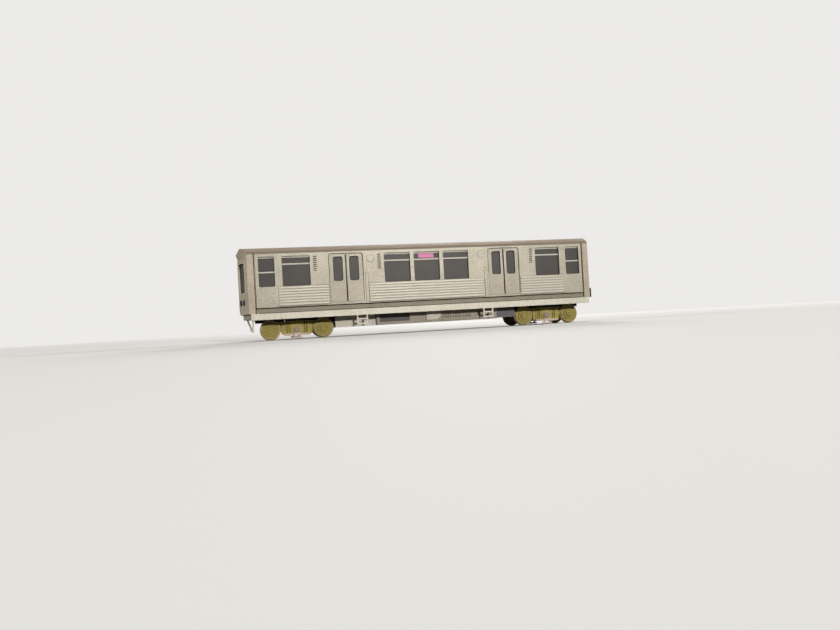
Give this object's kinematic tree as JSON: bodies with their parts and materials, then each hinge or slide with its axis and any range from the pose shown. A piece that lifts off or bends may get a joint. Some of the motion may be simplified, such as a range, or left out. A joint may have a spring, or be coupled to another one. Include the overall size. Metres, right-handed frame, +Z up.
{
  "type": "metro car display model",
  "caption": "Display model of a metro car made of layered card, with fluted sides, doors, cut windows and wheelsets that turn in swivelling trucks.",
  "frame": {"origin": "under the middle of the car, on the surface the wheels stand on", "axes": "+X along the car, +Y from the near side to the far side, +Z up"},
  "size_m": [0.2166, 0.0408, 0.0535],
  "materials": {
    "silver_card": "metallic, fine grain",
    "post_card": "metallic, fine grain",
    "sill_card": "matt",
    "window_card": "matt",
    "sign_card": "matt",
    "white_card": "matt",
    "dark_card": "matt",
    "floor_card": "matt",
    "roof_card": "metallic, fine grain",
    "box_card": "matt",
    "pale_card": "matt",
    "grey_card": "matt",
    "truck_card": "matt"
  },
  "bodies": {
    "car_body": {"side_panel_near": "silver_card", "side_panel_far": "silver_card", "fluted_panels_near": "silver_card", "fluted_panels_far": "silver_card", "door_leaves_near": "silver_card", "door_leaves_far": "silver_card", "side_trim_near": "silver_card", "side_trim_far": "silver_card", "frame_card_near": "silver_card", "frame_card_far": "silver_card", "foot_card_near": "post_card", "foot_card_far": "post_card", "window_card_near": "window_card", "window_card_far": "window_card", "sign_card_near": "sign_card", "sign_card_far": "sign_card", "sill_near": "sill_card", "sill_far": "sill_card", "steps_near": "white_card", "steps_far": "white_card", "floor_board": "floor_card", "roof": "roof_card", "end_wall_left": "post_card", "end_wall_right": "post_card", "end_door_left": "post_card", "end_door_right": "post_card", "end_window_card_left": "window_card", "end_window_card_right": "window_card", "end_hood_left": "post_card", "end_hood_right": "post_card", "end_lamps_left": "dark_card", "end_lamps_right": "dark_card", "end_step": "white_card", "end_bumper": "dark_card", "battery_box": "pale_card", "equipment_run": "box_card", "end_box": "grey_card", "recess_card_near": "grey_card", "recess_card_far": "grey_card", "hatch_near": "pale_card", "hatch_far": "pale_card", "vent_card_near": "box_card", "vent_card_far": "box_card"},
    "truck_left": {"truck_frame_left": "truck_card", "truck_bolster_left": "grey_card", "shoe_gear_left": "box_card"},
    "wheelset_left_outer": {"wheelset_left_outer": "truck_card"},
    "wheelset_left_inner": {"wheelset_left_inner": "truck_card"},
    "truck_right": {"truck_frame_right": "truck_card", "truck_bolster_right": "grey_card", "shoe_gear_right": "box_card"},
    "wheelset_right_outer": {"wheelset_right_outer": "truck_card"},
    "wheelset_right_inner": {"wheelset_right_inner": "truck_card"}
  },
  "joints": [
    {"name": "truck_left_swivel", "type": "hinge", "parent": "car_body", "child": "truck_left", "pos_m": [-0.0762, 0, 0.0123], "axis": [0, 0, 1], "range_deg": [-3, 3]},
    {"name": "wheelset_left_outer_spin", "type": "hinge", "parent": "truck_left", "child": "wheelset_left_outer", "pos_m": [-0.09115, 0, 0.0059], "axis": [0, 1, 0], "continuous": true},
    {"name": "wheelset_left_inner_spin", "type": "hinge", "parent": "truck_left", "child": "wheelset_left_inner", "pos_m": [-0.06125, 0, 0.0059], "axis": [0, 1, 0], "continuous": true},
    {"name": "truck_right_swivel", "type": "hinge", "parent": "car_body", "child": "truck_right", "pos_m": [0.0762, 0, 0.0123], "axis": [0, 0, 1], "range_deg": [-3, 3]},
    {"name": "wheelset_right_outer_spin", "type": "hinge", "parent": "truck_right", "child": "wheelset_right_outer", "pos_m": [0.09115, 0, 0.0059], "axis": [0, 1, 0], "continuous": true},
    {"name": "wheelset_right_inner_spin", "type": "hinge", "parent": "truck_right", "child": "wheelset_right_inner", "pos_m": [0.06125, 0, 0.0059], "axis": [0, 1, 0], "continuous": true}
  ]
}
